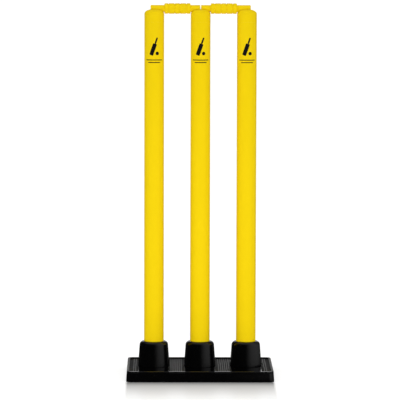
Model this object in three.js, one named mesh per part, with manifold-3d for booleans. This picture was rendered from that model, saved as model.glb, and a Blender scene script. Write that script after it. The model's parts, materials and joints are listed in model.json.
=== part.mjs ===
// Cricket stumps: three yellow plastic stumps with two bails, free-standing in a black rubber base.
// Millimetres, +Z up. The origin is on the ground under the middle stump, +X runs along the row of stumps
// from left to right, and the front of the base faces -Y.
import * as THREE from "three";
import { mergeVertices } from "three/addons/utils/BufferGeometryUtils.js";
import Module from "manifold-3d";

const wasm = await Module();
wasm.setup();

// Stumps
const stumpTop = 711; // from the ground to the top of a stump
const stumpPitch = 89.2; // from one stump's axis to the next
const stumpDiameter = 38;
const tubeWall = 2.2;
const capHeight = 25; // from the tube's end to the top of the cap
const capWall = 2.6;
const capShoulder = 8; // radius of the rounded top edge
const capDome = 40; // radius of the crowned top
const capCrown = 4.2; // thickness left under the bail groove
const capSpigot = 22; // how far the cap reaches down inside the tube
const plugFlange = 2.4;
const plugSpigot = 18; // how far the plug reaches up inside the tube
const plugWall = 2.4;
const plugChamfer = 0.9;

// Bails
const bailSpigotDiameter = 13.5;
const bailBarrelDiameter = 20.2;
const bailWaistDiameter = 17.6; // at the bottom of the turned grooves
const bailCentreGap = 1.4; // between the two bails' ends over the middle stump
const bailOverhang = 7.2; // how far a bail reaches past the axis of the outer stump
const bailTipFillet = 1.6; // at the ends of the spigots
const bailBarrelFillet = 1.8; // at the ends of the barrel
const bailCollarShare = 0.69; // of half the barrel, from its middle to the groove beside an end collar
const bailBeadShare = 0.2; // of half the barrel, from its middle to the groove beside the centre bead
const bailGrooveShare = 0.045; // of half the barrel, half the width of a groove

// Base
const trayThickness = 17.7; // from the ground to the floor that the ribs stand on
const trayFrontMargin = 71; // from a cup's foot to the front or back edge
const trayEndMargin = 22.2; // from an outer cup's foot to the end of the tray
const trayCorner = 10;
const trayDraft = 1.25; // how far each side leans in from the ground to the rim
const rimHeight = 2.9; // above the tray's floor
const rimWidth = 4.6;
const rimOuterEdge = 1.5; // radius of the rim's edge all round the outside
const rimInnerEdge = 0.8; // radius of the rim's edge over the floor
const ribPitch = 4;
const ribWidth = 2;
const ribHeight = 0.8;
const ribMargin = 6; // smooth border between the rim and the ribs
const ribLand = 1.5; // from a cup's foot to the nearest rib beside it

// Socket cups
const cupHeight = 49.2; // above the tray's floor
const cupWall = 8.4; // at the mouth
const cupFlare = 2.9; // how much wider the foot is than the mouth
const cupEdge = 7.6; // radius of the mouth's outer edge
const cupLead = 0.5; // radius of the mouth's inner edge
const cupFloor = 5.7; // rubber under the stump
const cupNeckWall = 5;
const cupLip = 3.2; // how far the lip under the tray stands out
const cupLipThickness = 3.3;

// Clearances
const fit = 0.3; // between a piece and the piece that it sits in or on
const bailRun = 0.5; // between a bail's barrel and the stump beside it
const overrun = 2; // how far a cutter passes the face that it cuts
const weldGap = fit / 1000; // vertices closer than this are one

// Facets of round pieces
const turnSides = 36;
const bailSides = 24;
const arcSteps = 4;
const smallArcSteps = 2;
const cornerSteps = 5;

// Sizes and places that follow from the ones above
const stumpRadius = stumpDiameter / 2;
const boreRadius = stumpRadius - tubeWall;
const spigotRadius = boreRadius - fit;
const socketRadius = stumpRadius + fit;
const cupMouthRadius = socketRadius + cupWall;
const cupFootRadius = cupMouthRadius + cupFlare;
const cupNeckRadius = socketRadius + cupNeckWall;
const cupLipRadius = cupNeckRadius + cupLip;
const cupBottom = fit;
const cupTop = trayThickness + cupHeight;
const socketFloor = cupBottom + cupFloor;
const stumpBottom = socketFloor + fit;
const tubeBottom = stumpBottom + plugFlange + fit;
const tubeTop = stumpTop - capHeight - fit;
const trayLength = 2 * (stumpPitch + cupFootRadius + trayEndMargin);
const trayDepth = 2 * (cupFootRadius + trayFrontMargin);
const rimTop = trayThickness + rimHeight;
const rimInset = trayDraft + rimWidth;
const grooveRadius = bailSpigotDiameter / 2 + fit;
const stumpSides = { left: -1, middle: 0, right: 1 };
const bailSidesOfMiddle = { left: -1, right: 1 };

const finishes = {
  yellow: { color: 0xf3d209, roughness: 0.38, metalness: 0 },
  rubber: { color: 0x0b0b0c, roughness: 0.5, metalness: 0 },
  plug: { color: 0x1c1c1d, roughness: 0.7, metalness: 0 },
};

// Solids and meshes

function solidOf(geometry) {
  const bare = geometry.clone();
  bare.deleteAttribute("normal");
  bare.deleteAttribute("uv");
  const merged = mergeVertices(bare, weldGap);
  return new wasm.Manifold(
    new wasm.Mesh({
      numProp: 3,
      vertProperties: merged.attributes.position.array,
      triVerts: new Uint32Array(merged.index.array),
    }),
  );
}

function geometryOf(solid) {
  const mesh = solid.getMesh();
  const geometry = new THREE.BufferGeometry();
  geometry.setAttribute("position", new THREE.BufferAttribute(mesh.vertProperties, 3));
  geometry.setIndex(new THREE.BufferAttribute(mesh.triVerts, 1));
  geometry.computeVertexNormals();
  return geometry;
}

function meshOf(name, solid, finish) {
  const mesh = new THREE.Mesh(geometryOf(solid), new THREE.MeshStandardMaterial(finishes[finish]));
  mesh.name = name;
  return mesh;
}

// Points along an arc round a centre. The angles are in quarter turns, from the outline's first axis.
function arc(centreU, centreV, radius, from, to, steps = arcSteps) {
  return Array.from({ length: steps + 1 }, (_, i) => {
    const angle = (Math.PI / 2) * (from + ((to - from) * i) / steps);
    return [centreU + radius * Math.cos(angle), centreV + radius * Math.sin(angle)];
  });
}

// A round solid about +Z from its outline of [radius, height] points, which runs up the outside.
function turned(outline, sides = turnSides) {
  const points = outline.map(([r, z]) => new THREE.Vector2(r, z));
  const closed = points[0].x > 0 ? [...points, points[0].clone()] : points;
  return solidOf(new THREE.LatheGeometry(closed, sides).rotateX(Math.PI / 2));
}

function rod(radius, from, to, sides = turnSides) {
  const outline = [
    [0, from],
    [radius, from],
    [radius, to],
    [0, to],
  ];
  return turned(outline, sides);
}

// The tray's outline seen from above, drawn in from its foot by an inset.
function trayOutline(inset) {
  const corner = Math.max(trayCorner - inset, rimInnerEdge);
  const x = trayLength / 2 - inset - corner;
  const y = trayDepth / 2 - inset - corner;
  const centres = [
    [x, y],
    [-x, y],
    [-x, -y],
    [x, -y],
  ];
  return centres.flatMap(([cx, cy], quarter) => arc(cx, cy, corner, quarter, quarter + 1, cornerSteps));
}

// A solid through stacked tray outlines, each level an [inset, height] pair, from the lowest up.
function stacked(levels) {
  const rings = levels.map(([inset]) => trayOutline(inset));
  const count = rings[0].length;
  const positions = rings.flatMap((ring, level) => ring.flatMap(([x, y]) => [x, y, levels[level][1]]));
  const index = [];
  for (let level = 0; level + 1 < rings.length; level++) {
    for (let i = 0; i < count; i++) {
      const a = level * count + i;
      const b = level * count + ((i + 1) % count);
      index.push(a, b, b + count, a, b + count, a + count);
    }
  }
  const last = (rings.length - 1) * count;
  const flat = rings[0].map(([x, y]) => new THREE.Vector2(x, y));
  for (const [a, b, c] of THREE.ShapeUtils.triangulateShape(flat, [])) {
    index.push(c, b, a, last + a, last + b, last + c);
  }
  const geometry = new THREE.BufferGeometry();
  geometry.setAttribute("position", new THREE.Float32BufferAttribute(positions, 3));
  geometry.setIndex(index);
  return solidOf(geometry);
}

// Base

// The ribs on the tray's floor, which stop short of the rim. The floor in front of and behind each cup
// stays smooth.
function floorRibs() {
  const border = 2 * (rimInset + ribMargin);
  const count = Math.floor((trayLength - border) / ribPitch);
  const height = ribHeight + overrun;
  const rib = new THREE.BoxGeometry(ribWidth, trayDepth - border, height);
  const middle = trayThickness + ribHeight - height / 2;
  const clear = cupFootRadius + ribLand + ribWidth / 2;
  const cupPlaces = Object.values(stumpSides).map((side) => side * stumpPitch);
  return Array.from({ length: count }, (_, i) => (i - (count - 1) / 2) * ribPitch)
    .filter((x) => cupPlaces.every((place) => Math.abs(x - place) > clear))
    .map((x) => solidOf(rib.clone().translate(x, 0, middle)))
    .reduce((ribs, bar) => ribs.add(bar));
}

function baseTray() {
  const innerEdge = Math.min(rimInnerEdge, rimWidth / 2, rimHeight);
  const outerEdge = Math.min(rimOuterEdge, rimWidth - innerEdge);
  const outside = [[0, 0], ...arc(trayDraft + outerEdge, rimTop - outerEdge, outerEdge, 2, 1)];
  const recess = [
    [rimInset, trayThickness],
    ...arc(rimInset - innerEdge, rimTop - innerEdge, innerEdge, 0, 1),
    [rimInset - innerEdge, rimTop + overrun],
  ];
  const neckHole = rod(cupNeckRadius + fit, -overrun, rimTop);
  const lipHole = rod(cupLipRadius + fit, -overrun, cupBottom + cupLipThickness + fit);
  const hole = neckHole.add(lipHole);
  let tray = stacked(outside).subtract(stacked(recess).subtract(floorRibs()));
  for (const side of Object.values(stumpSides)) {
    tray = tray.subtract(hole.translate([side * stumpPitch, 0, 0]));
  }
  return tray;
}

// One cup, with the neck and lip that hold it in the tray. A stump stands on the floor inside it.
function socketCup() {
  const foot = trayThickness + fit;
  const lead = Math.min(cupLead, cupWall / 2);
  const edge = Math.min(cupEdge, cupWall - lead);
  return turned([
    [0, cupBottom],
    [cupLipRadius, cupBottom],
    [cupLipRadius, cupBottom + cupLipThickness],
    [cupNeckRadius, cupBottom + cupLipThickness],
    [cupNeckRadius, foot],
    [cupFootRadius, foot],
    ...arc(cupMouthRadius - edge, cupTop - edge, edge, 0, 1),
    ...arc(socketRadius + lead, cupTop - lead, lead, 1, 2, smallArcSteps),
    [socketRadius, socketFloor],
    [0, socketFloor],
  ]);
}

// Stumps

function stumpTube() {
  return turned([
    [boreRadius, tubeBottom],
    [stumpRadius, tubeBottom],
    [stumpRadius, tubeTop],
    [boreRadius, tubeTop],
  ]);
}

function stumpPlug() {
  const flangeTop = stumpBottom + plugFlange;
  const hollowRadius = spigotRadius - plugWall;
  return turned([
    [0, stumpBottom],
    [stumpRadius - plugChamfer, stumpBottom],
    [stumpRadius, stumpBottom + plugChamfer],
    [stumpRadius, flangeTop],
    [spigotRadius, flangeTop],
    [spigotRadius, flangeTop + plugSpigot],
    [hollowRadius, flangeTop + plugSpigot],
    [hollowRadius, flangeTop],
    [0, flangeTop],
  ]);
}

// The crowned top of a stump: a hollow moulding with a groove across it, in line with the row. Its rounded
// edge runs into the dome where the line through both their centres meets them.
function stumpCap() {
  const seat = stumpTop - capHeight;
  const ceiling = stumpTop - grooveRadius - capCrown;
  const shoulder = Math.min(capShoulder, stumpRadius, capHeight);
  const hollowRadius = spigotRadius - capWall;
  const across = stumpRadius - shoulder;
  const rise = Math.sqrt((capDome - shoulder) ** 2 - across ** 2);
  const domeCentre = stumpTop - capDome;
  const meeting = Math.atan2(rise, across) / (Math.PI / 2);
  const cap = turned([
    [hollowRadius, seat - capSpigot],
    [spigotRadius, seat - capSpigot],
    [spigotRadius, seat],
    [stumpRadius, seat],
    ...arc(across, domeCentre + rise, shoulder, 0, meeting),
    ...arc(0, domeCentre, capDome, meeting, 1, smallArcSteps).slice(1, -1),
    [0, stumpTop],
    [0, ceiling],
    [hollowRadius, ceiling],
  ]);
  const groove = rod(grooveRadius, -stumpRadius - overrun, stumpRadius + overrun, bailSides);
  return cap.subtract(groove.rotate([0, 90, 0]).translate([0, 0, stumpTop]));
}

// Bails

// One bail about its own axis, with the barrel's middle at zero and the longer spigot up.
function bail() {
  const spigot = bailSpigotDiameter / 2;
  const barrel = bailBarrelDiameter / 2;
  const waist = bailWaistDiameter / 2;
  const half = stumpPitch / 2 - stumpRadius - bailRun;
  const innerEnd = (bailCentreGap - stumpPitch) / 2;
  const outerEnd = stumpPitch / 2 + bailOverhang;
  const grooves = [-bailCollarShare, -bailBeadShare, bailBeadShare, bailCollarShare];
  const outline = [
    [0, innerEnd],
    ...arc(spigot - bailTipFillet, innerEnd + bailTipFillet, bailTipFillet, -1, 0, smallArcSteps),
    [spigot, -half],
    ...arc(barrel - bailBarrelFillet, bailBarrelFillet - half, bailBarrelFillet, -1, 0, smallArcSteps),
    ...grooves.flatMap((share) => [
      [barrel, half * (share - bailGrooveShare)],
      [waist, half * share],
      [barrel, half * (share + bailGrooveShare)],
    ]),
    ...arc(barrel - bailBarrelFillet, half - bailBarrelFillet, bailBarrelFillet, 0, 1, smallArcSteps),
    [spigot, half],
    ...arc(spigot - bailTipFillet, outerEnd - bailTipFillet, bailTipFillet, 0, 1, smallArcSteps),
    [0, outerEnd],
  ];
  return turned(outline, bailSides);
}

// The assembly

const stumps = new THREE.Group();

stumps.add(meshOf("base_tray", baseTray(), "rubber"));

for (const [name, side] of Object.entries(stumpSides)) {
  const group = new THREE.Group();
  group.position.x = side * stumpPitch;
  group.add(meshOf("socket_cup_" + name, socketCup(), "rubber"));
  group.add(meshOf("stump_plug_" + name, stumpPlug(), "plug"));
  group.add(meshOf("stump_tube_" + name, stumpTube(), "yellow"));
  group.add(meshOf("stump_cap_" + name, stumpCap(), "yellow"));
  stumps.add(group);
}

for (const [name, side] of Object.entries(bailSidesOfMiddle)) {
  const mesh = meshOf("bail_" + name, bail().rotate([0, 90 * side, 0]), "yellow");
  mesh.position.set((side * stumpPitch) / 2, 0, stumpTop);
  stumps.add(mesh);
}

export default stumps;
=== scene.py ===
"""Free-standing cricket stumps on a black rubber base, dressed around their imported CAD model.

Everything is in metres in the model's own frame: the origin is on the ground under the middle stump, +X runs
along the row of stumps from left to right, +Z is up and the front of the base faces -Y.
"""

import json
import math
from functools import partial

import bmesh
import bpy
from bpy.props import FloatProperty, FloatVectorProperty, IntProperty, PointerProperty
from mathutils import Matrix, Vector


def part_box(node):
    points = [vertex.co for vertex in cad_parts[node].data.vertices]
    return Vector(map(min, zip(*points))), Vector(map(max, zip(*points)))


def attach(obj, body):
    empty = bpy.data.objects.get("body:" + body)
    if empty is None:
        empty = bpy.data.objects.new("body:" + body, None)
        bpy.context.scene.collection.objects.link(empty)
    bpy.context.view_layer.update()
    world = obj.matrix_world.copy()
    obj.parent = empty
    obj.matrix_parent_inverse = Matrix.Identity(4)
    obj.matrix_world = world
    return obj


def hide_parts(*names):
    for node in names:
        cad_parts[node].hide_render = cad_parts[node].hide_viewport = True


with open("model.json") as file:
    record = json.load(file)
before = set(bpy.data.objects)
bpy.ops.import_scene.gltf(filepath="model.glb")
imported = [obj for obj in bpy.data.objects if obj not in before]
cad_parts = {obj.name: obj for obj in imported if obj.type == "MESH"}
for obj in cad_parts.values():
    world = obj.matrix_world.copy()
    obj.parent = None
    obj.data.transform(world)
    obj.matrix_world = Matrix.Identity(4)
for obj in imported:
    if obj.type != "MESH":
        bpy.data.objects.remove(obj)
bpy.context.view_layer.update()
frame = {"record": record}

bl_info = {
    "name": "Cricket stumps",
    "version": (1, 0, 0),
    "blender": (4, 5, 0),
    "location": "3D View > Sidebar > Stumps",
    "description": "Builds a set of plastic cricket stumps on a rubber base, with their finishes and stage",
    "category": "Object",
}

MM = 0.001
WELD = 0.002 * MM  # vertices nearer than this are one
NEAR = 0.01 * MM  # how exactly a vertex's height is looked for
GROOVE_NEAR = 0.05 * MM  # how exactly a vertex on the rim of a cap's groove is looked for
GROOVE_WELD = 0.08 * MM  # vertices of a cap nearer than this are one once its groove is cut
ARC_STEP = math.radians(11)  # from one point of an arc to the next
SHARP = math.radians(25)  # faces that meet at more than this form an edge of the shape
SMOOTH = math.radians(38)  # faces that meet at less than this are shaded as one
LEVEL = 0.999  # a face whose normal points up by more than this is level
WHITE = (1, 1, 1, 1)
LOW_LIGHT_SIZE = (0.8, 0.2)  # along the row and upwards

# Where the parts of the studio that gloss sees begin and end, as shares of a direction of length 1
BACKDROP_SIDES = (0.92, 0.98)
BACKDROP_TOP = (0.3, 0.45)
SIDE_LIGHT_EDGE = (0.1, 0.75)
SIDE_LIGHT_FALL = (0, 0.7)
OVERHEAD_EDGE = (0.6, 0.95)
SIDE_LIGHT_BEHIND = 0.15  # what is left of the side light behind the base

# The floor's reflection
SURROUND = (0.1, 0.5)  # from the base to where gloss starts to see the studio, and to where it sees it all
PATCH_SIDE = 3 * MM  # half the width of the reflection's edge at each end of the base
PATCH_BACK = 5 * MM  # width of the reflection's edge under the base
MIRROR_GREY = (0.6, 0.6, 0.6, 1)
LOW_VIEW = (0.4, 0.85)  # from a view down on the floor, which shows none of it, to a low one, which shows all

# Rubber
BAND_INSET = 2 * MM  # from a cup's foot in to where the dull floor beside it starts
BAND_EDGE = 1.2 * MM  # width over which it turns dull
RUBBER_SKIN = {"tone": 0.2, "grain_size": 0.8 * MM, "grain_depth": 0.012 * MM, "specular": 0.5}

# Gaps
CAP_SEAM = 0.05 * MM  # between a tube and its cap
HOLE_GAP = 0.3 * MM  # between a cup's neck and the tray

# Radii of small roundings
TUBE_EDGE = 0.08 * MM
CAP_GROOVE_EDGE = 0.35 * MM
CAP_HOLLOW_EDGE = 1 * MM
SPIGOT_OUTER_EDGE = 0.6 * MM
SPIGOT_INNER_EDGE = 0.3 * MM
PLUG_FOOT_EDGE = 0.9 * MM
PLUG_FLANGE_EDGE = 0.2 * MM
PLUG_HOLLOW_EDGE = 0.5 * MM
BAIL_TIP_EDGE = 1.6 * MM
BAIL_BARREL_EDGE = 1.8 * MM
BAIL_ROOT_EDGE = 0.6 * MM  # where a spigot leaves the barrel
BAIL_LAND_EDGE = 1 * MM  # beside a turned groove
BAIL_GROOVE_EDGE = 0.5 * MM  # at the bottom of a turned groove
TRAY_FOOT_EDGE = 0.7 * MM
TRAY_FLOOR_EDGE = 0.5 * MM  # where the floor meets the rim
RIB_EDGE = 0.6 * MM
CUP_MOUTH_INNER_EDGE = 0.5 * MM
CUP_FOOT_EDGE = 0.3 * MM
CUP_LIP_EDGE = 0.3 * MM
CUP_FLOOR_EDGE = 0.5 * MM  # where a socket meets its floor

# The printed marks
PRINT_SINK = 0.02 * MM  # how deep the back of the print lies in the stump
PRINT_STRIP = math.radians(3)  # from one cut to the next where the print is wrapped round the stump
BAR_CORNER_SHARE = 0.45  # of a printed handle's width or a printed rule's height

# Places and sizes that the frame gives
STUMP_SIDES = ("left", "middle", "right")
BAIL_TURNS = {"left": -90, "right": 90}
tray_low, tray_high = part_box("base_tray")
cup_low, cup_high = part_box("socket_cup_middle")
plug_low, plug_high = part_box("stump_plug_middle")
tube_low, tube_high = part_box("stump_tube_middle")
cap_low, cap_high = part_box("stump_cap_middle")
bail_low, bail_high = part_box("bail_right")
stump_radius = tube_high.x
record_colours = {m["slot"]: m["base_color"] for m in frame["record"]["materials"]}


# Properties


def number(name, description, default, **kind):
    """A number that a user may change."""
    return FloatProperty(name=name, description=description, default=default, **kind)


# Lengths are in metres, and shares run from nothing to all
length = partial(number, min=0, unit="LENGTH", subtype="DISTANCE", precision=5)
share = partial(number, min=0, max=1, subtype="FACTOR")
strength = partial(number, min=0)


def colour(name, description, default):
    """A colour in linear values."""
    return FloatVectorProperty(
        name=name, description=description, default=default, min=0, max=1, size=3, subtype="COLOR"
    )


def angle(name, description, degrees):
    """An angle, given in degrees."""
    return number(name, description, math.radians(degrees), subtype="ANGLE", unit="ROTATION")


class StumpSizes(bpy.types.PropertyGroup):
    """Sizes of the stumps: tubes, caps and plugs."""

    sides: IntProperty(name="Sides", description="Faces round a stump", default=96, min=24)
    bore: length("Bore", "Radius inside a tube", 16.8 * MM)
    spigot: length("Spigot", "Radius of the cap's and the plug's spigots", 16.5 * MM)
    cap_seat: length("Cap seat", "From a stump's top down to its tube's end", 25 * MM)
    cap_wall: length("Cap wall", "Thickness of the cap's spigot", 2.6 * MM)
    cap_shoulder: length("Cap shoulder", "Radius of the cap's rounded top edge", 8 * MM)
    cap_dome: length("Cap dome", "Radius of the cap's crowned top", 40 * MM)
    cap_crown: length("Cap crown", "Thickness under the groove for the bails", 4.2 * MM)
    groove: length("Groove", "Radius of the groove that the bails lie in", 7.05 * MM)
    plug_flange: length("Plug flange", "Thickness of the plug's foot", 2.4 * MM)
    plug_wall: length("Plug wall", "Thickness of the plug's spigot", 2.4 * MM)


class BailSizes(bpy.types.PropertyGroup):
    """Sizes of the two bails."""

    sides: IntProperty(name="Sides", description="Faces round a bail", default=64, min=24)
    spigot: length("Spigot", "Radius of a bail's ends", 6.75 * MM)
    barrel_half: length("Half barrel", "Half the length of the barrel", 25.1 * MM)
    waist: length("Waist", "Radius at the bottom of a turned groove", 8.8 * MM)
    collar_share: share("Collar groove", "Share of half the barrel, from its middle", 0.69)
    bead_share: share("Bead groove", "Share of half the barrel, from its middle", 0.2)
    groove_half: length("Groove half width", "Half the width of a turned groove", 1.25 * MM)


class BaseSizes(bpy.types.PropertyGroup):
    """Sizes of the rubber base: the tray and its three socket cups."""

    sides: IntProperty(name="Sides", description="Faces round a cup", default=96, min=24)
    corner: length("Tray corner", "Radius of the tray's corners seen from above", 10 * MM)
    draft: length("Tray draft", "How far each side leans in up to the rim", 1.25 * MM)
    rim_width: length("Rim width", "Width of the rim's top", 4.6 * MM)
    rim_height: length("Rim height", "Height of the rim above the floor", 2.9 * MM)
    rim_outer_edge: length("Outer rim edge", "Rounding of the rim's outer edge", 1.5 * MM)
    rim_inner_edge: length("Inner rim edge", "Rounding of the rim's inner edge", 0.8 * MM)
    rib_pitch: length("Rib pitch", "From one rib to the next", 4 * MM)
    rib_width: length("Rib width", "Width of a rib", 2 * MM)
    rib_height: length("Rib height", "Height of a rib above the floor", 0.8 * MM)
    rib_margin: length("Rib margin", "Smooth border inside the rim", 6 * MM)
    rib_land: length("Rib land", "From a cup's foot to the nearest rib", 1.5 * MM)
    socket: length("Socket", "Radius inside a cup", 19.3 * MM)
    mouth: length("Mouth", "Radius of a cup where its mouth starts to round over", 27.7 * MM)
    mouth_edge: length("Mouth edge", "Radius of the mouth's outer edge", 7.6 * MM)
    cup_floor: length("Cup floor", "Thickness of the rubber under a stump", 5.7 * MM)
    neck: length("Neck", "Radius of the cup's neck through the tray", 24.3 * MM)
    lip: length("Lip", "Radius of the lip under the tray", 27.5 * MM)
    lip_thickness: length("Lip thickness", "Thickness of the lip under the tray", 3.3 * MM)


class MarkSizes(bpy.types.PropertyGroup):
    """Sizes of the plain bat and ball printed on each stump, and of the two rules under it."""

    centre: length("Centre", "Height of the middle of the bat", 638.8 * MM)
    film: length("Film", "Thickness of the print", 0.06 * MM)
    slant: angle("Slant", "How far the bat leans to the right", 20)
    blade_width: length("Blade width", "Width of the bat's blade", 7.8 * MM)
    blade_length: length("Blade length", "Length of the bat's blade", 23.5 * MM)
    blade_round: length("Blade rounding", "Rounding of the blade's corners", 1.6 * MM)
    handle_width: length("Handle width", "Width of the bat's handle", 3.2 * MM)
    handle_length: length("Handle length", "Length of the bat's handle", 12.5 * MM)
    ball_radius: length("Ball radius", "Radius of the ball", 3.4 * MM)
    ball_offset: length("Ball offset", "From the middle of the bat to the ball, to the right", 6 * MM)
    ball_drop: length("Ball drop", "From the middle of the bat to the ball, downwards", 13.5 * MM)
    rule_top: length("Rule top", "Height of the upper rule", 612.7 * MM)
    rule_pitch: length("Rule pitch", "From the upper rule to the lower one", 4.8 * MM)
    rule_height: length("Rule height", "Height of a rule", 1.7 * MM)
    upper_rule: length("Upper rule", "Length of the upper rule round the stump", 34 * MM)
    lower_rule: length("Lower rule", "Length of the lower rule round the stump", 24.5 * MM)


class Finishes(bpy.types.PropertyGroup):
    """Colours of the finishes, and where the tray's rubber is duller."""

    stump_colour: colour("Stump colour", "Yellow of the tubes and caps", record_colours["stump_plastic"])
    bail_colour: colour("Bail colour", "Yellow of the bails", record_colours["bail_plastic"])
    tray_colour: colour("Tray colour", "Black of the tray", record_colours["tray_rubber"])
    cup_colour: colour("Cup colour", "Black of the cups", record_colours["cup_rubber"])
    plug_colour: colour("Plug colour", "Black of the plugs", record_colours["plug_plastic"])
    print_colour: colour("Print colour", "Black of the printed marks", (0.006, 0.006, 0.007))
    between_ribs: share("Between the ribs", "Roughness added to the floor between the tray's ribs", 0.64)
    on_ribs: share("On the ribs", "Roughness added to the tops of the ribs", 0.33)
    end_rims: share("End rims", "Roughness added to the rim at the tray's ends", 0.35)


class StageSettings(bpy.types.PropertyGroup):
    """Camera, floor and light."""

    camera_distance: length("Camera distance", "From the camera to the row of stumps", 6)
    camera_height: length("Camera height", "Of the camera above the ground", 0.885)
    camera_offset: length("Camera offset", "Of the camera to the left of the middle stump", 0.062)
    camera_pitch: angle("Camera pitch", "How far the camera looks down", 5.179)
    camera_turn: angle("Camera turn", "How far the camera looks to the right", 0.589)
    camera_roll: angle("Camera roll", "How far the camera leans to the left", 0.15)
    camera_lens: number("Camera lens", "Focal length", 280.26, unit="CAMERA", min=1)
    floor_size: length("Floor size", "Side of the square floor", 60)
    ambient: strength("Ambient", "Light from all round", 0.335)
    sun: strength("Soft lights", "Strength of the left and the right soft light", 0.69)
    top_sun: strength("Soft light above", "Strength of the soft light above", 0.85)
    sun_height: angle("Light height", "Of the soft lights above the horizon", 30)
    sun_spread: angle("Light spread", "Of each soft light from straight in front", 60)
    sun_softness: angle("Light softness", "How wide each soft light spreads", 60)
    fill: strength("Low light", "Power of the low light in front", 5)
    fill_distance: length("Low light distance", "From the low light to the row of stumps", 1.2)
    fill_height: length("Low light height", "Of the middle of the low light above the ground", 0.12)
    room: strength("Room", "What gloss sees of the dark studio in front", 0.01)
    side_light: strength("Side light", "What gloss sees of the lit wall on the right", 0.52)
    top_light: strength("Top light", "What gloss sees of the light overhead", 0.5)
    floor_glow: share("Floor glow", "White added to the lit floor for the camera", 0.66)
    floor_bounce: share("Floor bounce", "Brightness of the floor for bounced light", 0.8)
    floor_lit: share("Floor lit part", "Brightness of the lit floor for the camera", 0.5)
    floor_gloss: share("Floor gloss", "Share of mirror reflection in front of the base", 0.54)
    contact_gloss: share("Contact gloss", "Share of mirror reflection added right at the base", 0.26)
    # Painted shadow in front of the base: this much white is taken off the floor's glow there, fading out
    # with distance from the base
    painted_floor_shadow: share("Floor shade", "White taken off the floor right in front of the base", 0.19)
    painted_shadow_fade: length("Shade fade", "From the base to the end of the shade", 0.27)
    floor_blur: share("Floor blur", "Roughness of the floor's reflection", 0.25)
    floor_fade: length("Floor fade", "From the base to the end of the reflection", 0.262)
    contact_fade: length("Contact fade", "From the base to the end of the added reflection", 0.045)


# Outlines and solids


def rounded(corners):
    """The points of an outline of (across, up, radius) corners, with each radius drawn as an arc."""
    points = []
    count = len(corners)
    for i, (across, up, radius) in enumerate(corners):
        here = Vector((across, up))
        if not radius:
            points.append(here)
            continue
        back = (Vector(corners[i - 1][:2]) - here).normalized()
        ahead = (Vector(corners[(i + 1) % count][:2]) - here).normalized()
        half = back.angle(ahead) / 2
        turn = math.pi - 2 * half
        centre = here + (back + ahead).normalized() * radius / math.sin(half)
        spoke = here + back * radius / math.tan(half) - centre
        direction = 1 if back.cross(ahead) < 0 else -1
        steps = max(2, round(turn / ARC_STEP))
        for step in range(steps + 1):
            points.append(centre + Matrix.Rotation(direction * turn * step / steps, 2) @ spoke)
    return points


def arc(across, up, radius, start, end, steps=10):
    """Corners without a radius along an arc round a centre, between two angles from the across direction."""
    turns = [start + (end - start) * i / steps for i in range(steps + 1)]
    return [(across + radius * math.cos(turn), up + radius * math.sin(turn), 0) for turn in turns]


def spun(corners, sides):
    """A round solid about the Z axis from the corners of its outline, which runs up the outside."""
    bm = bmesh.new()
    outline = [bm.verts.new((point.x, 0, point.y)) for point in rounded(corners)]
    pairs = list(zip(outline, outline[1:]))
    if outline[0].co.x > 0:
        pairs.append((outline[-1], outline[0]))
    profile = outline + [bm.edges.new(pair) for pair in pairs]
    bmesh.ops.spin(
        bm, geom=profile, cent=(0, 0, 0), axis=(0, 0, 1), angle=2 * math.pi, steps=sides, use_merge=True
    )
    return cleaned(bm)


def cleaned(bm):
    """The same mesh with its doubles merged and its faces turned outwards."""
    bmesh.ops.remove_doubles(bm, verts=bm.verts, dist=WELD)
    bmesh.ops.recalc_face_normals(bm, faces=bm.faces)
    return bm


def moved(bm, place):
    """The same mesh, moved."""
    bmesh.ops.translate(bm, verts=bm.verts, vec=place)
    return bm


def extruded(bm, faces, shift, keep=True):
    """The vertices of the far side of faces extruded by a shift. The faces are kept where asked."""
    result = bmesh.ops.extrude_face_region(bm, geom=faces, use_keep_orig=keep)
    verts = [item for item in result["geom"] if isinstance(item, bmesh.types.BMVert)]
    bmesh.ops.translate(bm, verts=verts, vec=shift)
    return verts


def object_of(bm, name):
    """An object at the origin that holds the mesh."""
    mesh = bpy.data.meshes.new(name)
    bm.to_mesh(mesh)
    bm.free()
    piece = bpy.data.objects.new(name, mesh)
    bpy.context.scene.collection.objects.link(piece)
    return piece


def combined(bm, other, operation):
    """The first solid joined with the other one or cut by it."""
    piece = object_of(bm, "solid")
    tool = object_of(other, "tool")
    modifier = piece.modifiers.new("Combine", "BOOLEAN")
    modifier.operation = operation
    modifier.object = tool
    modifier.solver = "EXACT"
    shape = piece.evaluated_get(bpy.context.evaluated_depsgraph_get()).to_mesh()
    result = bmesh.new()
    result.from_mesh(shape)
    for spare in (piece, tool):
        mesh = spare.data
        bpy.data.objects.remove(spare)
        bpy.data.meshes.remove(mesh)
    return result


def rounded_off(bm, parts, radius, segments, affect="EDGES"):
    """Rounds these edges, or these vertices of a flat shape."""
    kind = {"affect": affect, "segments": segments, "profile": 0.5, "material": -1}
    bmesh.ops.bevel(bm, geom=parts, offset=radius, clamp_overlap=True, **kind)


def edges_at(bm, height):
    """The sharp edges that lie at a height."""
    level = [edge for edge in bm.edges if all(abs(v.co.z - height) < NEAR for v in edge.verts)]
    return [edge for edge in level if edge.calc_face_angle(0) > SHARP]


def finish_piece(bm, name, body, slot, node=None, material=None):
    """Makes a piece with its own or its slot's finish that rides on a body and may stand for a CAD node."""
    piece = object_of(bm, name)
    mesh = piece.data
    mesh.shade_smooth()
    mesh.set_sharp_from_angle(angle=SMOOTH)
    mesh.materials.append(material or SLOT_FINISHES[slot]())
    shading = piece.modifiers.new("Even shading", "WEIGHTED_NORMAL")
    shading.keep_sharp = True
    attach(piece, body)
    if node:
        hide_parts(node)
    return piece


def row_centre(side):
    """The middle of a stump's place in the row, on the ground."""
    low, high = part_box("stump_tube_" + side)
    return Vector(((low.x + high.x) / 2, (low.y + high.y) / 2, 0))


# Shader nodes


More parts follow.
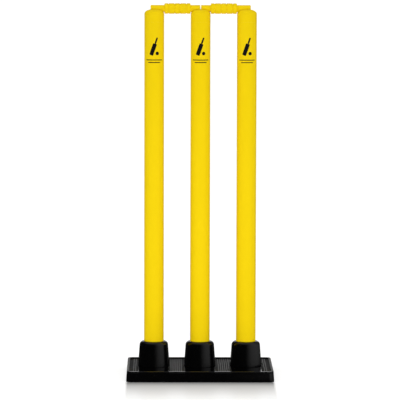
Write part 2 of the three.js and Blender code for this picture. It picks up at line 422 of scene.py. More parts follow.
def set_inputs(tree, node, inputs):
    """Sets a node's inputs, named or numbered, to values or links other nodes' outputs to them."""
    for key, value in inputs.items():
        if isinstance(value, bpy.types.NodeSocket):
            tree.links.new(value, node.inputs[key])
        else:
            node.inputs[key].default_value = value


def new_node(tree, kind, inputs=None, **settings):
    """The outputs of a new node with these inputs and settings."""
    node = tree.nodes.new(kind)
    for name, value in settings.items():
        setattr(node, name, value)
    set_inputs(tree, node, inputs or {})
    return node.outputs


def calculated(tree, operation, first, second=0):
    """The result of a calculation with outputs or numbers."""
    return new_node(tree, "ShaderNodeMath", {0: first, 1: second}, operation=operation)[0]


def product(tree, first, *others):
    """The product of outputs or numbers."""
    for other in others:
        first = calculated(tree, "MULTIPLY", first, other)
    return first


def ramp(tree, value, start, end, first, last):
    """A value that runs from first to last as another runs from start to end."""
    inputs = {"Value": value, "From Min": start, "From Max": end, "To Min": first, "To Max": last}
    return new_node(tree, "ShaderNodeMapRange", inputs)["Result"]


def coordinates(tree, kind="Object"):
    """A vector of coordinates and its three parts."""
    vector = new_node(tree, "ShaderNodeTexCoord")[kind]
    return vector, new_node(tree, "ShaderNodeSeparateXYZ", {"Vector": vector})


def noise(tree, scale, stretch=(1, 1, 1), detail=3):
    """A noise texture on object coordinates, stretched along the axes."""
    place = new_node(tree, "ShaderNodeTexCoord")["Object"]
    mapped = new_node(tree, "ShaderNodeMapping", {"Vector": place, "Scale": stretch})["Vector"]
    return new_node(tree, "ShaderNodeTexNoise", {"Vector": mapped, "Scale": scale, "Detail": detail})["Fac"]


def drifting(tree, scale, amount):
    """A patchy value that swings about zero."""
    return product(tree, calculated(tree, "SUBTRACT", noise(tree, scale), 0.5), amount)


# Shader node groups that several finishes use


def add_socket(group, name, way):
    """Adds a socket to a node group: for a colour if it is called Color, or else for a number."""
    kind = "NodeSocketColor" if name == "Color" else "NodeSocketFloat"
    return group.interface.new_socket(name=name, in_out=way, socket_type=kind)


def shared_group(name):
    """The node group of this name, made once."""
    group = bpy.data.node_groups.get(name)
    if group:
        return group
    fill, output, inputs = SHARED_GROUPS[name]
    group = bpy.data.node_groups.new(name, "ShaderNodeTree")
    for title, value in inputs.items():
        add_socket(group, title, "INPUT").default_value = value
    add_socket(group, output, "OUTPUT")
    given = group.nodes.new("NodeGroupInput").outputs
    set_inputs(group, group.nodes.new("NodeGroupOutput"), {output: fill(group, given)})
    return group


def grouped(tree, name, inputs):
    """The output of a shared node group with these inputs."""
    return new_node(tree, "ShaderNodeGroup", inputs, node_tree=shared_group(name))[0]


def grain_height(group, given):
    """The fine uneven skin that a mould leaves: a fine noise and a coarser one."""
    fine = noise(group, given["Scale"], detail=2)
    coarse = noise(group, product(group, given["Scale"], given["Coarse scale"]), detail=2)
    return calculated(group, "ADD", fine, product(group, coarse, given["Coarse share"]))


def uneven_roughness(group, given):
    """Roughness that drifts a little over the surface, and rises in fine upright rub marks."""
    drift = drifting(group, given["Scale"], given["Drift"])
    streak_scale = product(group, given["Scale"], given["Streak scale"])
    upright = (1, 1, 0.02)
    streaks = noise(group, streak_scale, upright)
    deep = calculated(group, "POWER", streaks, given["Streak contrast"])
    base = calculated(group, "ADD", given["Roughness"], drift)
    return calculated(group, "ADD", base, product(group, deep, given["Rub"]))


def drifting_tone(group, given):
    """A colour that is a little lighter here and darker there."""
    level = calculated(group, "ADD", drifting(group, given["Scale"], given["Amount"]), 1)
    tint = {"Vector": given["Color"], "Scale": level}
    return new_node(group, "ShaderNodeVectorMath", tint, operation="SCALE")["Vector"]


# What fills each node group, its output, and its inputs
GRAIN_INPUTS = {"Scale": 1500, "Coarse scale": 0.17, "Coarse share": 0.5}
GLOSS_INPUTS = {"Roughness": 0.4, "Drift": 0.06, "Rub": 0.05, "Scale": 40}
STREAK_INPUTS = {"Streak scale": 22, "Streak contrast": 4}
TONE_INPUTS = {"Color": (0.5, 0.5, 0.5, 1), "Amount": 0.05, "Scale": 25}
SHARED_GROUPS = {
    "Moulded grain": (grain_height, "Height", GRAIN_INPUTS),
    "Uneven gloss": (uneven_roughness, "Roughness", GLOSS_INPUTS | STREAK_INPUTS),
    "Tone drift": (drifting_tone, "Color", TONE_INPUTS),
}


# Finishes


def moulded(name, tint, *, tone, roughness, drift, rub, grain_size, grain_depth, specular):
    """A moulded finish. The grain's size and depth are lengths, and the rest are shares."""
    material = bpy.data.materials.get(name)
    if material:
        return material
    material = bpy.data.materials.new(name)
    material.use_nodes = True
    tree = material.node_tree
    shade = {"Color": (*tint, 1), "Amount": tone}
    gloss = {"Roughness": roughness, "Drift": drift, "Rub": rub}
    height = grouped(tree, "Moulded grain", {"Scale": 1 / grain_size})
    bump = {"Height": height, "Distance": grain_depth, "Strength": 1}
    shader = {
        "Base Color": grouped(tree, "Tone drift", shade),
        "Roughness": grouped(tree, "Uneven gloss", gloss),
        "Normal": new_node(tree, "ShaderNodeBump", bump)["Normal"],
        "Specular IOR Level": specular,
    }
    set_inputs(tree, tree.nodes["Principled BSDF"], shader)
    return material


def finishes():
    """The colours and the tray's roughness that the user has set."""
    return bpy.context.scene.stumps_finishes


def stump_plastic():
    """Smooth semi-gloss yellow plastic of the tubes and caps."""
    skin = {"tone": 0.02, "grain_size": 1.1 * MM, "grain_depth": 0.004 * MM, "specular": 0.04}
    return moulded("Stump plastic", finishes().stump_colour, roughness=0.36, drift=0.06, rub=0.1, **skin)


def bail_plastic():
    """Smooth yellow plastic of the bails."""
    skin = {"tone": 0.02, "grain_size": 1.4 * MM, "grain_depth": 0.006 * MM, "specular": 0.04}
    return moulded("Bail plastic", finishes().bail_colour, roughness=0.4, drift=0.05, rub=0.05, **skin)


def tray_rubber():
    """Black rubber of the tray, duller at its ends and on its floor beside the cups."""
    material = bpy.data.materials.get("Tray rubber")
    if material:
        return material
    black = finishes().tray_colour
    material = moulded("Tray rubber", black, roughness=0.1, drift=0.06, rub=0.05, **RUBBER_SKIN)
    sizes = bpy.context.scene.stumps_base
    tree = material.node_tree
    axes = coordinates(tree)[1]
    floor = tray_high.z - sizes.rim_height
    rib_top = floor + sizes.rib_height
    above = calculated(tree, "GREATER_THAN", axes["Z"], floor - sizes.rib_height)
    below = calculated(tree, "LESS_THAN", axes["Z"], rib_top + sizes.rib_height / 2)
    ribbed = product(tree, above, below)
    for side in STUMP_SIDES:
        away = calculated(tree, "ABSOLUTE", calculated(tree, "SUBTRACT", axes["X"], row_centre(side).x))
        band = cup_high.x - BAND_INSET
        ribbed = product(tree, ribbed, ramp(tree, away, band, band + BAND_EDGE, 0, 1))
    rib_middle = rib_top - sizes.rib_height / 2
    dull = ramp(tree, axes["Z"], rib_middle, rib_top, finishes().between_ribs, finishes().on_ribs)
    end_rim = tray_high.x - sizes.draft - sizes.rim_width
    at_end = calculated(tree, "GREATER_THAN", calculated(tree, "ABSOLUTE", axes["X"]), end_rim)
    dull_end = product(tree, at_end, finishes().end_rims)
    rougher = calculated(tree, "MAXIMUM", product(tree, ribbed, dull), dull_end)
    shader = tree.nodes["Principled BSDF"]
    smooth = shader.inputs["Roughness"].links[0].from_socket
    set_inputs(tree, shader, {"Roughness": calculated(tree, "ADD", smooth, rougher)})
    return material


def cup_rubber():
    """Satin black rubber of the cups."""
    return moulded("Cup rubber", finishes().cup_colour, roughness=0.24, drift=0.08, rub=0.05, **RUBBER_SKIN)


def plug_plastic():
    """Plain black plastic of the plugs."""
    skin = {"tone": 0.1, "grain_size": 0.9 * MM, "grain_depth": 0.02 * MM, "specular": 0.4}
    return moulded("Plug plastic", finishes().plug_colour, roughness=0.55, drift=0.08, rub=0, **skin)


def printed_ink():
    """Flat black ink of the printed marks."""
    skin = {"tone": 0.1, "grain_size": 0.5 * MM, "grain_depth": 0.003 * MM, "specular": 0.15}
    return moulded("Printed ink", finishes().print_colour, roughness=0.5, drift=0.05, rub=0, **skin)


SLOT_FINISHES = {
    "stump_plastic": stump_plastic,
    "bail_plastic": bail_plastic,
    "tray_rubber": tray_rubber,
    "cup_rubber": cup_rubber,
    "plug_plastic": plug_plastic,
}


# The rubber base


def tray_slab(sizes):
    """The slab with its leaning sides, rounded rim and recessed floor, before its holes and ribs."""
    bm = bmesh.new()
    size = tray_high - tray_low
    bmesh.ops.create_grid(bm, x_segments=1, y_segments=1, size=0.5)
    bmesh.ops.scale(bm, verts=bm.verts, vec=(size.x, size.y, 1))
    rounded_off(bm, bm.verts[:], sizes.corner, segments=8, affect="VERTICES")
    top = extruded(bm, bm.faces[:], (0, 0, size.z))
    narrowing = (1 - 2 * sizes.draft / size.x, 1 - 2 * sizes.draft / size.y, 1)
    bmesh.ops.scale(bm, verts=top, vec=narrowing)
    cleaned(bm)
    rounded_off(bm, edges_at(bm, size.z), sizes.rim_outer_edge, segments=8)
    cleaned(bm)
    lid = [face for face in bm.faces if face.normal.z > LEVEL]
    top_width = sizes.rim_width - sizes.rim_outer_edge
    bmesh.ops.inset_region(bm, faces=lid, thickness=top_width, use_even_offset=True)
    extruded(bm, lid, (0, 0, -sizes.rim_height), keep=False)
    bmesh.ops.delete(bm, geom=lid, context="FACES_ONLY")
    cleaned(bm)
    rounded_off(bm, edges_at(bm, size.z), sizes.rim_inner_edge, segments=5)
    rounded_off(bm, edges_at(bm, size.z - sizes.rim_height), TRAY_FLOOR_EDGE, segments=2)
    rounded_off(bm, edges_at(bm, 0), TRAY_FOOT_EDGE, segments=3)
    return bm


def rib_places(sizes):
    """The places of the ribs along X. The floor in front of and behind each cup has none."""
    reach = tray_high.x - sizes.draft - sizes.rim_width - sizes.rib_margin
    clear = cup_high.x + sizes.rib_land + sizes.rib_width / 2
    cups = [row_centre(side).x for side in STUMP_SIDES]
    count = int(2 * reach / sizes.rib_pitch)
    places = [(i - (count - 1) / 2) * sizes.rib_pitch for i in range(count)]
    return [x for x in places if all(abs(x - cup) > clear for cup in cups)]


def tray_ribs(sizes, floor):
    """The low ribs that run from front to back over the tray's floor."""
    reach = tray_high.y - sizes.draft - sizes.rim_width - sizes.rib_margin
    sink = sizes.rib_height / 2
    bm = bmesh.new()
    for x in rib_places(sizes):
        bar = bmesh.ops.create_cube(bm, size=1)["verts"]
        bmesh.ops.scale(bm, verts=bar, vec=(sizes.rib_width, 2 * reach, sizes.rib_height + sink))
        bmesh.ops.translate(bm, verts=bar, vec=(x, 0, floor + (sizes.rib_height - sink) / 2))
    top = floor + sizes.rib_height
    upper = [edge for edge in bm.edges if max(v.co.z for v in edge.verts) > top - NEAR]
    rounded_off(bm, upper, RIB_EDGE, segments=2)
    return bm


def base_tray():
    """The tray: slab, ribs and the three stepped holes for the cups' necks and lips."""
    sizes = bpy.context.scene.stumps_base
    floor = tray_high.z - sizes.rim_height
    over = sizes.rim_height
    neck = sizes.neck + HOLE_GAP
    lip = sizes.lip + HOLE_GAP
    lip_top = cup_low.z + sizes.lip_thickness + HOLE_GAP
    top = floor + over
    outline = [(0, -over), (lip, -over), (lip, lip_top), (neck, lip_top), (neck, top), (0, top)]
    tray = tray_slab(sizes)
    for side in STUMP_SIDES:
        hole = spun([(*corner, 0) for corner in outline], sizes.sides)
        tray = combined(tray, moved(hole, row_centre(side)), "DIFFERENCE")
    tray = combined(tray, tray_ribs(sizes, floor), "UNION")
    finish_piece(tray, "tray", "base", "tray_rubber", "base_tray")


def socket_cups():
    """The three cups, each with its rounded mouth, its socket, and the neck and lip that hold it."""
    sizes = bpy.context.scene.stumps_base
    foot = tray_high.z - sizes.rim_height + HOLE_GAP
    foot_radius = cup_high.x
    taper = (foot_radius - sizes.mouth) / (cup_high.z - sizes.mouth_edge - foot)
    lip_top = cup_low.z + sizes.lip_thickness
    corners = [
        (0, cup_low.z, 0),
        (sizes.lip, cup_low.z, CUP_LIP_EDGE),
        (sizes.lip, lip_top, CUP_LIP_EDGE),
        (sizes.neck, lip_top, 0),
        (sizes.neck, foot, 0),
        (foot_radius, foot, CUP_FOOT_EDGE),
        (sizes.mouth - taper * sizes.mouth_edge, cup_high.z, sizes.mouth_edge),
        (sizes.socket, cup_high.z, CUP_MOUTH_INNER_EDGE),
        (sizes.socket, cup_low.z + sizes.cup_floor, CUP_FLOOR_EDGE),
        (0, cup_low.z + sizes.cup_floor, 0),
    ]
    for side in STUMP_SIDES:
        cup = moved(spun(corners, sizes.sides), row_centre(side))
        finish_piece(cup, "cup_" + side, "base", "cup_rubber", "socket_cup_" + side)


# The stumps


def stump_tubes():
    """The three yellow tubes."""
    sizes = bpy.context.scene.stumps_stumps
    top = cap_high.z - sizes.cap_seat - CAP_SEAM
    corners = [
        (sizes.bore, tube_low.z, TUBE_EDGE),
        (stump_radius, tube_low.z, TUBE_EDGE),
        (stump_radius, top, TUBE_EDGE),
        (sizes.bore, top, TUBE_EDGE),
    ]
    for side in STUMP_SIDES:
        tube = moved(spun(corners, sizes.sides), row_centre(side))
        finish_piece(tube, "tube_" + side, "stump_" + side, "stump_plastic", "stump_tube_" + side)


def stump_plugs():
    """The three black plugs in the tubes' lower ends."""
    sizes = bpy.context.scene.stumps_stumps
    flange = plug_low.z + sizes.plug_flange
    hollow = sizes.spigot - sizes.plug_wall
    corners = [
        (0, plug_low.z, 0),
        (stump_radius, plug_low.z, PLUG_FOOT_EDGE),
        (stump_radius, flange, PLUG_FLANGE_EDGE),
        (sizes.spigot, flange, 0),
        (sizes.spigot, plug_high.z, SPIGOT_OUTER_EDGE),
        (hollow, plug_high.z, SPIGOT_INNER_EDGE),
        (hollow, flange, PLUG_HOLLOW_EDGE),
        (0, flange, 0),
    ]
    for side in STUMP_SIDES:
        plug = moved(spun(corners, sizes.sides), row_centre(side))
        finish_piece(plug, "plug_" + side, "stump_" + side, "plug_plastic", "stump_plug_" + side)


def cap_solid(sizes):
    """A cap about the Z axis: hollow spigot, crowned top with a rounded shoulder, and a groove across it."""
    top = cap_high.z
    seat = top - sizes.cap_seat
    ceiling = top - sizes.groove - sizes.cap_crown
    hollow = sizes.spigot - sizes.cap_wall
    across = stump_radius - sizes.cap_shoulder
    rise = math.sqrt((sizes.cap_dome - sizes.cap_shoulder) ** 2 - across**2)
    dome_centre = top - sizes.cap_dome
    meeting = math.atan2(rise, across)
    cap = spun(
        [
            (0, ceiling, 0),
            (hollow, ceiling, CAP_HOLLOW_EDGE),
            (hollow, cap_low.z, SPIGOT_INNER_EDGE),
            (sizes.spigot, cap_low.z, SPIGOT_OUTER_EDGE),
            (sizes.spigot, seat, 0),
            (stump_radius, seat, TUBE_EDGE),
            *arc(across, dome_centre + rise, sizes.cap_shoulder, 0, meeting),
            *arc(0, dome_centre, sizes.cap_dome, meeting, math.pi / 2)[1:-1],
            (0, top, 0),
        ],
        sizes.sides,
    )
    cutter = bmesh.new()
    across_top = Matrix.Translation((0, 0, top)) @ Matrix.Rotation(math.pi / 2, 4, "Y")
    groove = {"radius1": sizes.groove, "radius2": sizes.groove, "depth": 3 * stump_radius}
    bmesh.ops.create_cone(cutter, cap_ends=True, segments=64, matrix=across_top, **groove)
    cap = combined(cap, cutter, "DIFFERENCE")
    bmesh.ops.remove_doubles(cap, verts=cap.verts, dist=GROOVE_WELD)
    lips = [edge for edge in cap.edges if is_groove_lip(edge, top, sizes.groove)]
    rounded_off(cap, lips, CAP_GROOVE_EDGE, segments=2)
    return cap


def is_groove_lip(edge, top, groove):
    """Whether an edge runs along the rim of the groove."""
    if len(edge.link_faces) != 2 or edge.calc_face_angle(0) < SHARP:
        return False
    return all(abs(math.hypot(v.co.y, v.co.z - top) - groove) < GROOVE_NEAR for v in edge.verts)


def stump_caps():
    """The three yellow caps."""
    sizes = bpy.context.scene.stumps_stumps
    for side in STUMP_SIDES:
        cap = moved(cap_solid(sizes), row_centre(side))
        finish_piece(cap, "cap_" + side, "stump_" + side, "stump_plastic", "stump_cap_" + side)


# The printed marks


def flat_bar(bm, centre_x, centre_z, width, height, corner):
    """A flat upright bar with rounded corners."""
    verts = bmesh.ops.create_grid(bm, x_segments=1, y_segments=1, size=0.5)["verts"]
    bmesh.ops.scale(bm, verts=verts, vec=(width, height, 1))
    bmesh.ops.rotate(bm, verts=verts, cent=(0, 0, 0), matrix=Matrix.Rotation(math.pi / 2, 3, "X"))
    bmesh.ops.translate(bm, verts=verts, vec=(centre_x, 0, centre_z))
    rounded_off(bm, verts, corner, segments=5, affect="VERTICES")


def flat_disc(bm, centre_x, centre_z, radius):
    """A flat upright disc."""
    turn = Matrix.Translation((centre_x, 0, centre_z)) @ Matrix.Rotation(math.pi / 2, 4, "X")
    bmesh.ops.create_circle(bm, cap_ends=True, segments=40, radius=radius, matrix=turn)


def mark_shapes(sizes):
    """The flat shapes of a mark: a plain slanting bat, a ball beside its toe and two rules under them."""
    bm = bmesh.new()
    blade_z = -sizes.handle_length / 2
    handle_z = sizes.blade_length / 2
    flat_bar(bm, 0, blade_z, sizes.blade_width, sizes.blade_length, sizes.blade_round)
    flat_bar(bm, 0, handle_z, sizes.handle_width, sizes.handle_length, BAR_CORNER_SHARE * sizes.handle_width)
    bmesh.ops.rotate(bm, verts=bm.verts, cent=(0, 0, 0), matrix=Matrix.Rotation(sizes.slant, 3, "Y"))
    moved(bm, (0, 0, sizes.centre))
    flat_disc(bm, sizes.ball_offset, sizes.centre - sizes.ball_drop, sizes.ball_radius)
    for row, rule in enumerate((sizes.upper_rule, sizes.lower_rule)):
        height = sizes.rule_top - row * sizes.rule_pitch
        flat_bar(bm, 0, height, rule, sizes.rule_height, BAR_CORNER_SHARE * sizes.rule_height)
    return bm


def printed_marks():
    """The mark on the front of each stump: a thin film wrapped round the tube."""
    sizes = bpy.context.scene.stumps_marks
    strip = stump_radius * PRINT_STRIP
    cuts = int(sizes.upper_rule / strip)
    for side in STUMP_SIDES:
        bm = mark_shapes(sizes)
        for i in range(cuts + 1):
            place = ((i - cuts / 2) * strip, 0, 0)
            everything = bm.verts[:] + bm.edges[:] + bm.faces[:]
            bmesh.ops.bisect_plane(bm, geom=everything, plane_co=place, plane_no=(1, 0, 0))
        extruded(bm, bm.faces[:], (0, -sizes.film, 0))
        for vert in bm.verts:
            turn = vert.co.x / stump_radius
            radius = stump_radius - vert.co.y - PRINT_SINK
            vert.co.x = radius * math.sin(turn)
            vert.co.y = -radius * math.cos(turn)
        bmesh.ops.recalc_face_normals(bm, faces=bm.faces)
        mark = moved(bm, row_centre(side))
        finish_piece(mark, "mark_" + side, "stump_" + side, "plug_plastic", material=printed_ink())


# The bails


def bail_solid(sizes):
    """A bail about the Z axis, with its barrel's middle at the origin and its longer end up."""
    barrel = (bail_high.z - bail_low.z) / 2
    centre = (row_centre("middle").x + row_centre("right").x) / 2
    half = sizes.barrel_half
    corners = [
        (0, bail_low.x - centre, 0),
        (sizes.spigot, bail_low.x - centre, BAIL_TIP_EDGE),
        (sizes.spigot, -half, BAIL_ROOT_EDGE),
        (barrel, -half, BAIL_BARREL_EDGE),
    ]
    for share_of_half in (-sizes.collar_share, -sizes.bead_share, sizes.bead_share, sizes.collar_share):
        place = half * share_of_half
        corners += [
            (barrel, place - sizes.groove_half, BAIL_LAND_EDGE),
            (sizes.waist, place, BAIL_GROOVE_EDGE),
            (barrel, place + sizes.groove_half, BAIL_LAND_EDGE),
        ]
    corners += [
        (barrel, half, BAIL_BARREL_EDGE),
        (sizes.spigot, half, BAIL_ROOT_EDGE),
        (sizes.spigot, bail_high.x - centre, BAIL_TIP_EDGE),
        (0, bail_high.x - centre, 0),
    ]
    return spun(corners, sizes.sides), centre


def bails():
    """The two bails, which lie in the grooves across the stumps' tops."""
    sizes = bpy.context.scene.stumps_bails
    height = (bail_low.z + bail_high.z) / 2
    for side, turn in BAIL_TURNS.items():
        bail, centre = bail_solid(sizes)
        rotation = Matrix.Rotation(math.radians(turn), 3, "Y")
        bmesh.ops.rotate(bail, verts=bail.verts, cent=(0, 0, 0), matrix=rotation)
        moved(bail, (math.copysign(centre, turn), 0, height))
        finish_piece(bail, "bail_turned_" + side, "bail_" + side, "bail_plastic", "bail_" + side)


# The stage


def stage_camera(settings):
    """The camera, in front of the row and looking a little down."""
    camera = bpy.data.objects.new("Camera", bpy.data.cameras.new("Camera"))
    place = Matrix.Translation((-settings.camera_offset, -settings.camera_distance, settings.camera_height))
    turn = Matrix.Rotation(-settings.camera_turn, 4, "Z")
    pitch = Matrix.Rotation(math.pi / 2 - settings.camera_pitch, 4, "X")
    roll = Matrix.Rotation(settings.camera_roll, 4, "Z")
    camera.matrix_world = place @ turn @ pitch @ roll
    camera.data.lens = settings.camera_lens
    camera.data.clip_end = settings.floor_size
    bpy.context.scene.collection.objects.link(camera)
    bpy.context.scene.camera = camera


def placed_light(name, kind, energy, turn, place=(0, 0, 0)):
    """A light that gloss and the camera don't show, as data that can be set further."""
    lamp = bpy.data.lights.new(name, kind)
    lamp.energy = energy
    light = bpy.data.objects.new(name, lamp)
    light.rotation_euler = turn
    light.location = place
    light.visible_glossy = False
    light.visible_camera = False
    bpy.context.scene.collection.objects.link(light)
    return lamp


def stage_lights(settings):
    """Broad soft lights left and right of the camera and above, and a low one in front."""
    tilt = math.pi / 2 - settings.sun_height
    for name, energy, turn in (
        ("Soft light left", settings.sun, (tilt, 0, -settings.sun_spread)),
        ("Soft light right", settings.sun, (tilt, 0, settings.sun_spread)),
        ("Soft light above", settings.top_sun, (0, 0, 0)),
    ):
        placed_light(name, "SUN", energy, turn).angle = settings.sun_softness
    place = (0, -settings.fill_distance, settings.fill_height)
    panel = placed_light("Low light", "AREA", settings.fill, (math.pi / 2, 0, 0), place)
    panel.shape = "RECTANGLE"
    panel.size, panel.size_y = LOW_LIGHT_SIZE


def gloss_view(tree, towards, height, settings):
    """What gloss sees in a direction: a white backdrop straight behind, and a lit wall on the right."""
    level = new_node(tree, "ShaderNodeVectorMath", {0: towards, 1: (1, 1, 0)}, operation="MULTIPLY")["Vector"]
    direction = new_node(tree, "ShaderNodeVectorMath", {0: level}, operation="NORMALIZE")["Vector"]
    axes = new_node(tree, "ShaderNodeSeparateXYZ", {"Vector": direction})
    backdrop = ramp(tree, axes["Y"], *BACKDROP_SIDES, 0, 1)
    behind = product(tree, backdrop, ramp(tree, height, *BACKDROP_TOP, 1, 0))
    right = ramp(tree, axes["X"], *SIDE_LIGHT_EDGE, 0, settings.side_light)
    side = product(tree, right, ramp(tree, axes["Y"], *SIDE_LIGHT_FALL, 1, SIDE_LIGHT_BEHIND))
    return calculated(tree, "MAXIMUM", calculated(tree, "MAXIMUM", behind, side), settings.room)


def stage_world(settings):
    """White all round for the camera, and what gloss sees with a light overhead."""
    world = bpy.data.worlds.new("Studio")
    bpy.context.scene.world = world
    world.use_nodes = True
    tree = world.node_tree
    path = new_node(tree, "ShaderNodeLightPath")
    direction, axes = coordinates(tree, "Generated")
    overhead = ramp(tree, axes["Z"], *OVERHEAD_EDGE, 0, settings.top_light)
    level = calculated(tree, "MAXIMUM", gloss_view(tree, direction, axes["Z"], settings), overhead)
    light = {"Factor": path["Is Glossy Ray"], "A": settings.ambient, "B": level}
    shown = {"Factor": path["Is Camera Ray"], "A": new_node(tree, "ShaderNodeMix", light)["Result"], "B": 1}
    background = {"Color": WHITE, "Strength": new_node(tree, "ShaderNodeMix", shown)["Result"]}
    set_inputs(tree, tree.nodes["Background"], background)


def distance_from_base(tree, axes):
    """The distance on the floor from the base's outline."""
    squares = []
    for axis, half in (("X", tray_high.x), ("Y", tray_high.y)):
        outside = calculated(tree, "SUBTRACT", calculated(tree, "ABSOLUTE", axes[axis]), half)
        beyond = calculated(tree, "MAXIMUM", outside, 0)
        squares.append(product(tree, beyond, beyond))
    return calculated(tree, "SQRT", calculated(tree, "ADD", *squares))


def in_front_of_base(tree, axes):
    """All of an effect under and in front of the base, and none of it beside and behind the base."""
    across = calculated(tree, "ABSOLUTE", axes["X"])
    beside = ramp(tree, across, tray_high.x - PATCH_SIDE, tray_high.x + PATCH_SIDE, 1, 0)
    behind = ramp(tree, axes["Y"], -tray_high.y, PATCH_BACK - tray_high.y, 1, 0)
    return product(tree, beside, behind)


def glowing(tree, level):
    """A white glow."""
    return new_node(tree, "ShaderNodeEmission", {"Color": WHITE, "Strength": level})[0]


def lit_floor(tree, camera_ray, distance, in_front, settings):
    """White floor, lit and shadowed, and lifted to white for the camera, less so in front of the base, where
    a shadow is painted by taking off some of the white.
    """
    grey = ramp(tree, camera_ray, 0, 1, settings.floor_bounce, settings.floor_lit)
    matt = new_node(tree, "ShaderNodeBsdfDiffuse", {"Color": grey})[0]
    # Painted shadow: the camera's glow is lowered in front of the base, most at the base and fading out with
    # distance
    shade = product(tree, ramp(tree, distance, 0, settings.painted_shadow_fade, settings.painted_floor_shadow, 0), in_front)
    shown = calculated(tree, "SUBTRACT", settings.floor_glow, shade)
    glow = glowing(tree, product(tree, shown, camera_ray))
    return new_node(tree, "ShaderNodeAddShader", {0: matt, 1: glow})[0]


def floor_for_gloss(tree, place, height, distance, settings):
    """What gloss sees of the floor: dark beside the base, and as the studio farther off."""
    beyond = ramp(tree, distance, *SURROUND, 0, 1)
    level = product(tree, gloss_view(tree, place, height, settings), beyond)
    return glowing(tree, calculated(tree, "MAXIMUM", level, settings.room))


def mirror_share(tree, camera_ray, distance, in_front, settings):
    """How much of a mirror the camera sees in the floor: most at the base's front, and none from above."""
    broad = ramp(tree, distance, 0, settings.floor_fade, settings.floor_gloss, 0)
    contact = ramp(tree, distance, 0, settings.contact_fade, settings.contact_gloss, 0)
    facing = new_node(tree, "ShaderNodeLayerWeight")["Facing"]
    low_view = ramp(tree, facing, *LOW_VIEW, 0, 1)
    return product(tree, calculated(tree, "ADD", broad, contact), in_front, low_view, camera_ray)


def floor_material(settings):
    """White floor with a blurred mirror of the base in front of it, and its own look for gloss."""
    material = bpy.data.materials.new("White floor")
    material.use_nodes = True
    tree = material.node_tree
    tree.nodes.remove(tree.nodes["Principled BSDF"])
    path = new_node(tree, "ShaderNodeLightPath")
    camera_ray = path["Is Camera Ray"]
    place, axes = coordinates(tree)
    distance = distance_from_base(tree, axes)
    in_front = in_front_of_base(tree, axes)
    lit = lit_floor(tree, camera_ray, distance, in_front, settings)
    for_gloss = floor_for_gloss(tree, place, axes["Z"], distance, settings)
    plain = new_node(tree, "ShaderNodeMixShader", {0: path["Is Glossy Ray"], 1: lit, 2: for_gloss})[0]
    blur = {"Color": MIRROR_GREY, "Roughness": settings.floor_blur}
    mirror = new_node(tree, "ShaderNodeBsdfAnisotropic", blur)[0]
    amount = mirror_share(tree, camera_ray, distance, in_front, settings)
    mixed = new_node(tree, "ShaderNodeMixShader", {0: amount, 1: plain, 2: mirror})[0]
    set_inputs(tree, tree.nodes["Material Output"], {"Surface": mixed})
    return material


def stage():
    """The camera, the white floor, the lights and the world."""
    settings = bpy.context.scene.stumps_stage
    stage_camera(settings)
    stage_lights(settings)
    stage_world(settings)
    bm = bmesh.new()
    bmesh.ops.create_grid(bm, x_segments=1, y_segments=1, size=settings.floor_size / 2)
    floor = object_of(bm, "floor")
    floor.data.materials.append(floor_material(settings))
    bpy.context.scene.view_settings.view_transform = "Standard"


# Operators


class STUMPS_OT_tray(bpy.types.Operator):
    """Build the ribbed rubber tray"""

    bl_idname = "stumps.tray"
    bl_label = "Build tray"

    def execute(self, context):
        base_tray()
        return {"FINISHED"}


class STUMPS_OT_cups(bpy.types.Operator):
    """Build the three rubber socket cups"""

    bl_idname = "stumps.cups"
    bl_label = "Build cups"

    def execute(self, context):
        socket_cups()
        return {"FINISHED"}


class STUMPS_OT_tubes(bpy.types.Operator):
    """Build the three stumps' tubes"""

    bl_idname = "stumps.tubes"
    bl_label = "Build tubes"

    def execute(self, context):
        stump_tubes()
        return {"FINISHED"}


class STUMPS_OT_plugs(bpy.types.Operator):
    """Build the three plugs in the tubes' lower ends"""

    bl_idname = "stumps.plugs"
    bl_label = "Build plugs"

    def execute(self, context):
        stump_plugs()
        return {"FINISHED"}


class STUMPS_OT_caps(bpy.types.Operator):
    """Build the three grooved caps"""

    bl_idname = "stumps.caps"
    bl_label = "Build caps"

    def execute(self, context):
        stump_caps()
        return {"FINISHED"}


class STUMPS_OT_marks(bpy.types.Operator):
    """Print the plain bat and ball on each stump"""

    bl_idname = "stumps.marks"
    bl_label = "Print marks"

    def execute(self, context):
        printed_marks()
        return {"FINISHED"}


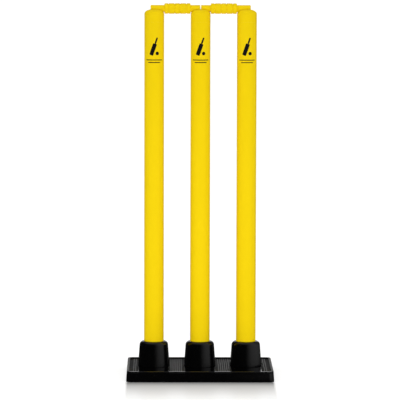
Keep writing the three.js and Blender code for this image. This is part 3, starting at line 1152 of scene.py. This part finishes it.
class STUMPS_OT_bails(bpy.types.Operator):
    """Build the two bails"""

    bl_idname = "stumps.bails"
    bl_label = "Build bails"

    def execute(self, context):
        bails()
        return {"FINISHED"}


class STUMPS_OT_stage(bpy.types.Operator):
    """Set up the camera, floor and light"""

    bl_idname = "stumps.stage"
    bl_label = "Set up stage"

    def execute(self, context):
        stage()
        return {"FINISHED"}


class STUMPS_PT_panel(bpy.types.Panel):
    """Sizes, finishes and build steps of the stumps"""

    bl_idname = "STUMPS_PT_panel"
    bl_label = "Cricket stumps"
    bl_space_type = "VIEW_3D"
    bl_region_type = "UI"
    bl_category = "Stumps"

    def draw(self, context):
        for name, group in SETTINGS.items():
            box = self.layout.box()
            settings = getattr(context.scene, name)
            for title in group.__annotations__:
                box.prop(settings, title)
        for operator in OPERATORS:
            self.layout.operator(operator.bl_idname)


SETTINGS = {
    "stumps_stumps": StumpSizes,
    "stumps_bails": BailSizes,
    "stumps_base": BaseSizes,
    "stumps_marks": MarkSizes,
    "stumps_finishes": Finishes,
    "stumps_stage": StageSettings,
}
OPERATORS = (
    STUMPS_OT_tray,
    STUMPS_OT_cups,
    STUMPS_OT_tubes,
    STUMPS_OT_plugs,
    STUMPS_OT_caps,
    STUMPS_OT_marks,
    STUMPS_OT_bails,
    STUMPS_OT_stage,
)


def register():
    """Registers the classes and hangs the settings on the scene."""
    for name, group in SETTINGS.items():
        bpy.utils.register_class(group)
        setattr(bpy.types.Scene, name, PointerProperty(type=group))
    for cls in (*OPERATORS, STUMPS_PT_panel):
        bpy.utils.register_class(cls)


def unregister():
    """Undoes what register does."""
    for cls in reversed((*OPERATORS, STUMPS_PT_panel)):
        bpy.utils.unregister_class(cls)
    for name, group in SETTINGS.items():
        delattr(bpy.types.Scene, name)
        bpy.utils.unregister_class(group)


def main():
    register()
    bpy.ops.stumps.tray()
    bpy.ops.stumps.cups()
    bpy.ops.stumps.tubes()
    bpy.ops.stumps.plugs()
    bpy.ops.stumps.caps()
    bpy.ops.stumps.marks()
    bpy.ops.stumps.bails()
    bpy.ops.stumps.stage()


if __name__ == "__main__":
    main()
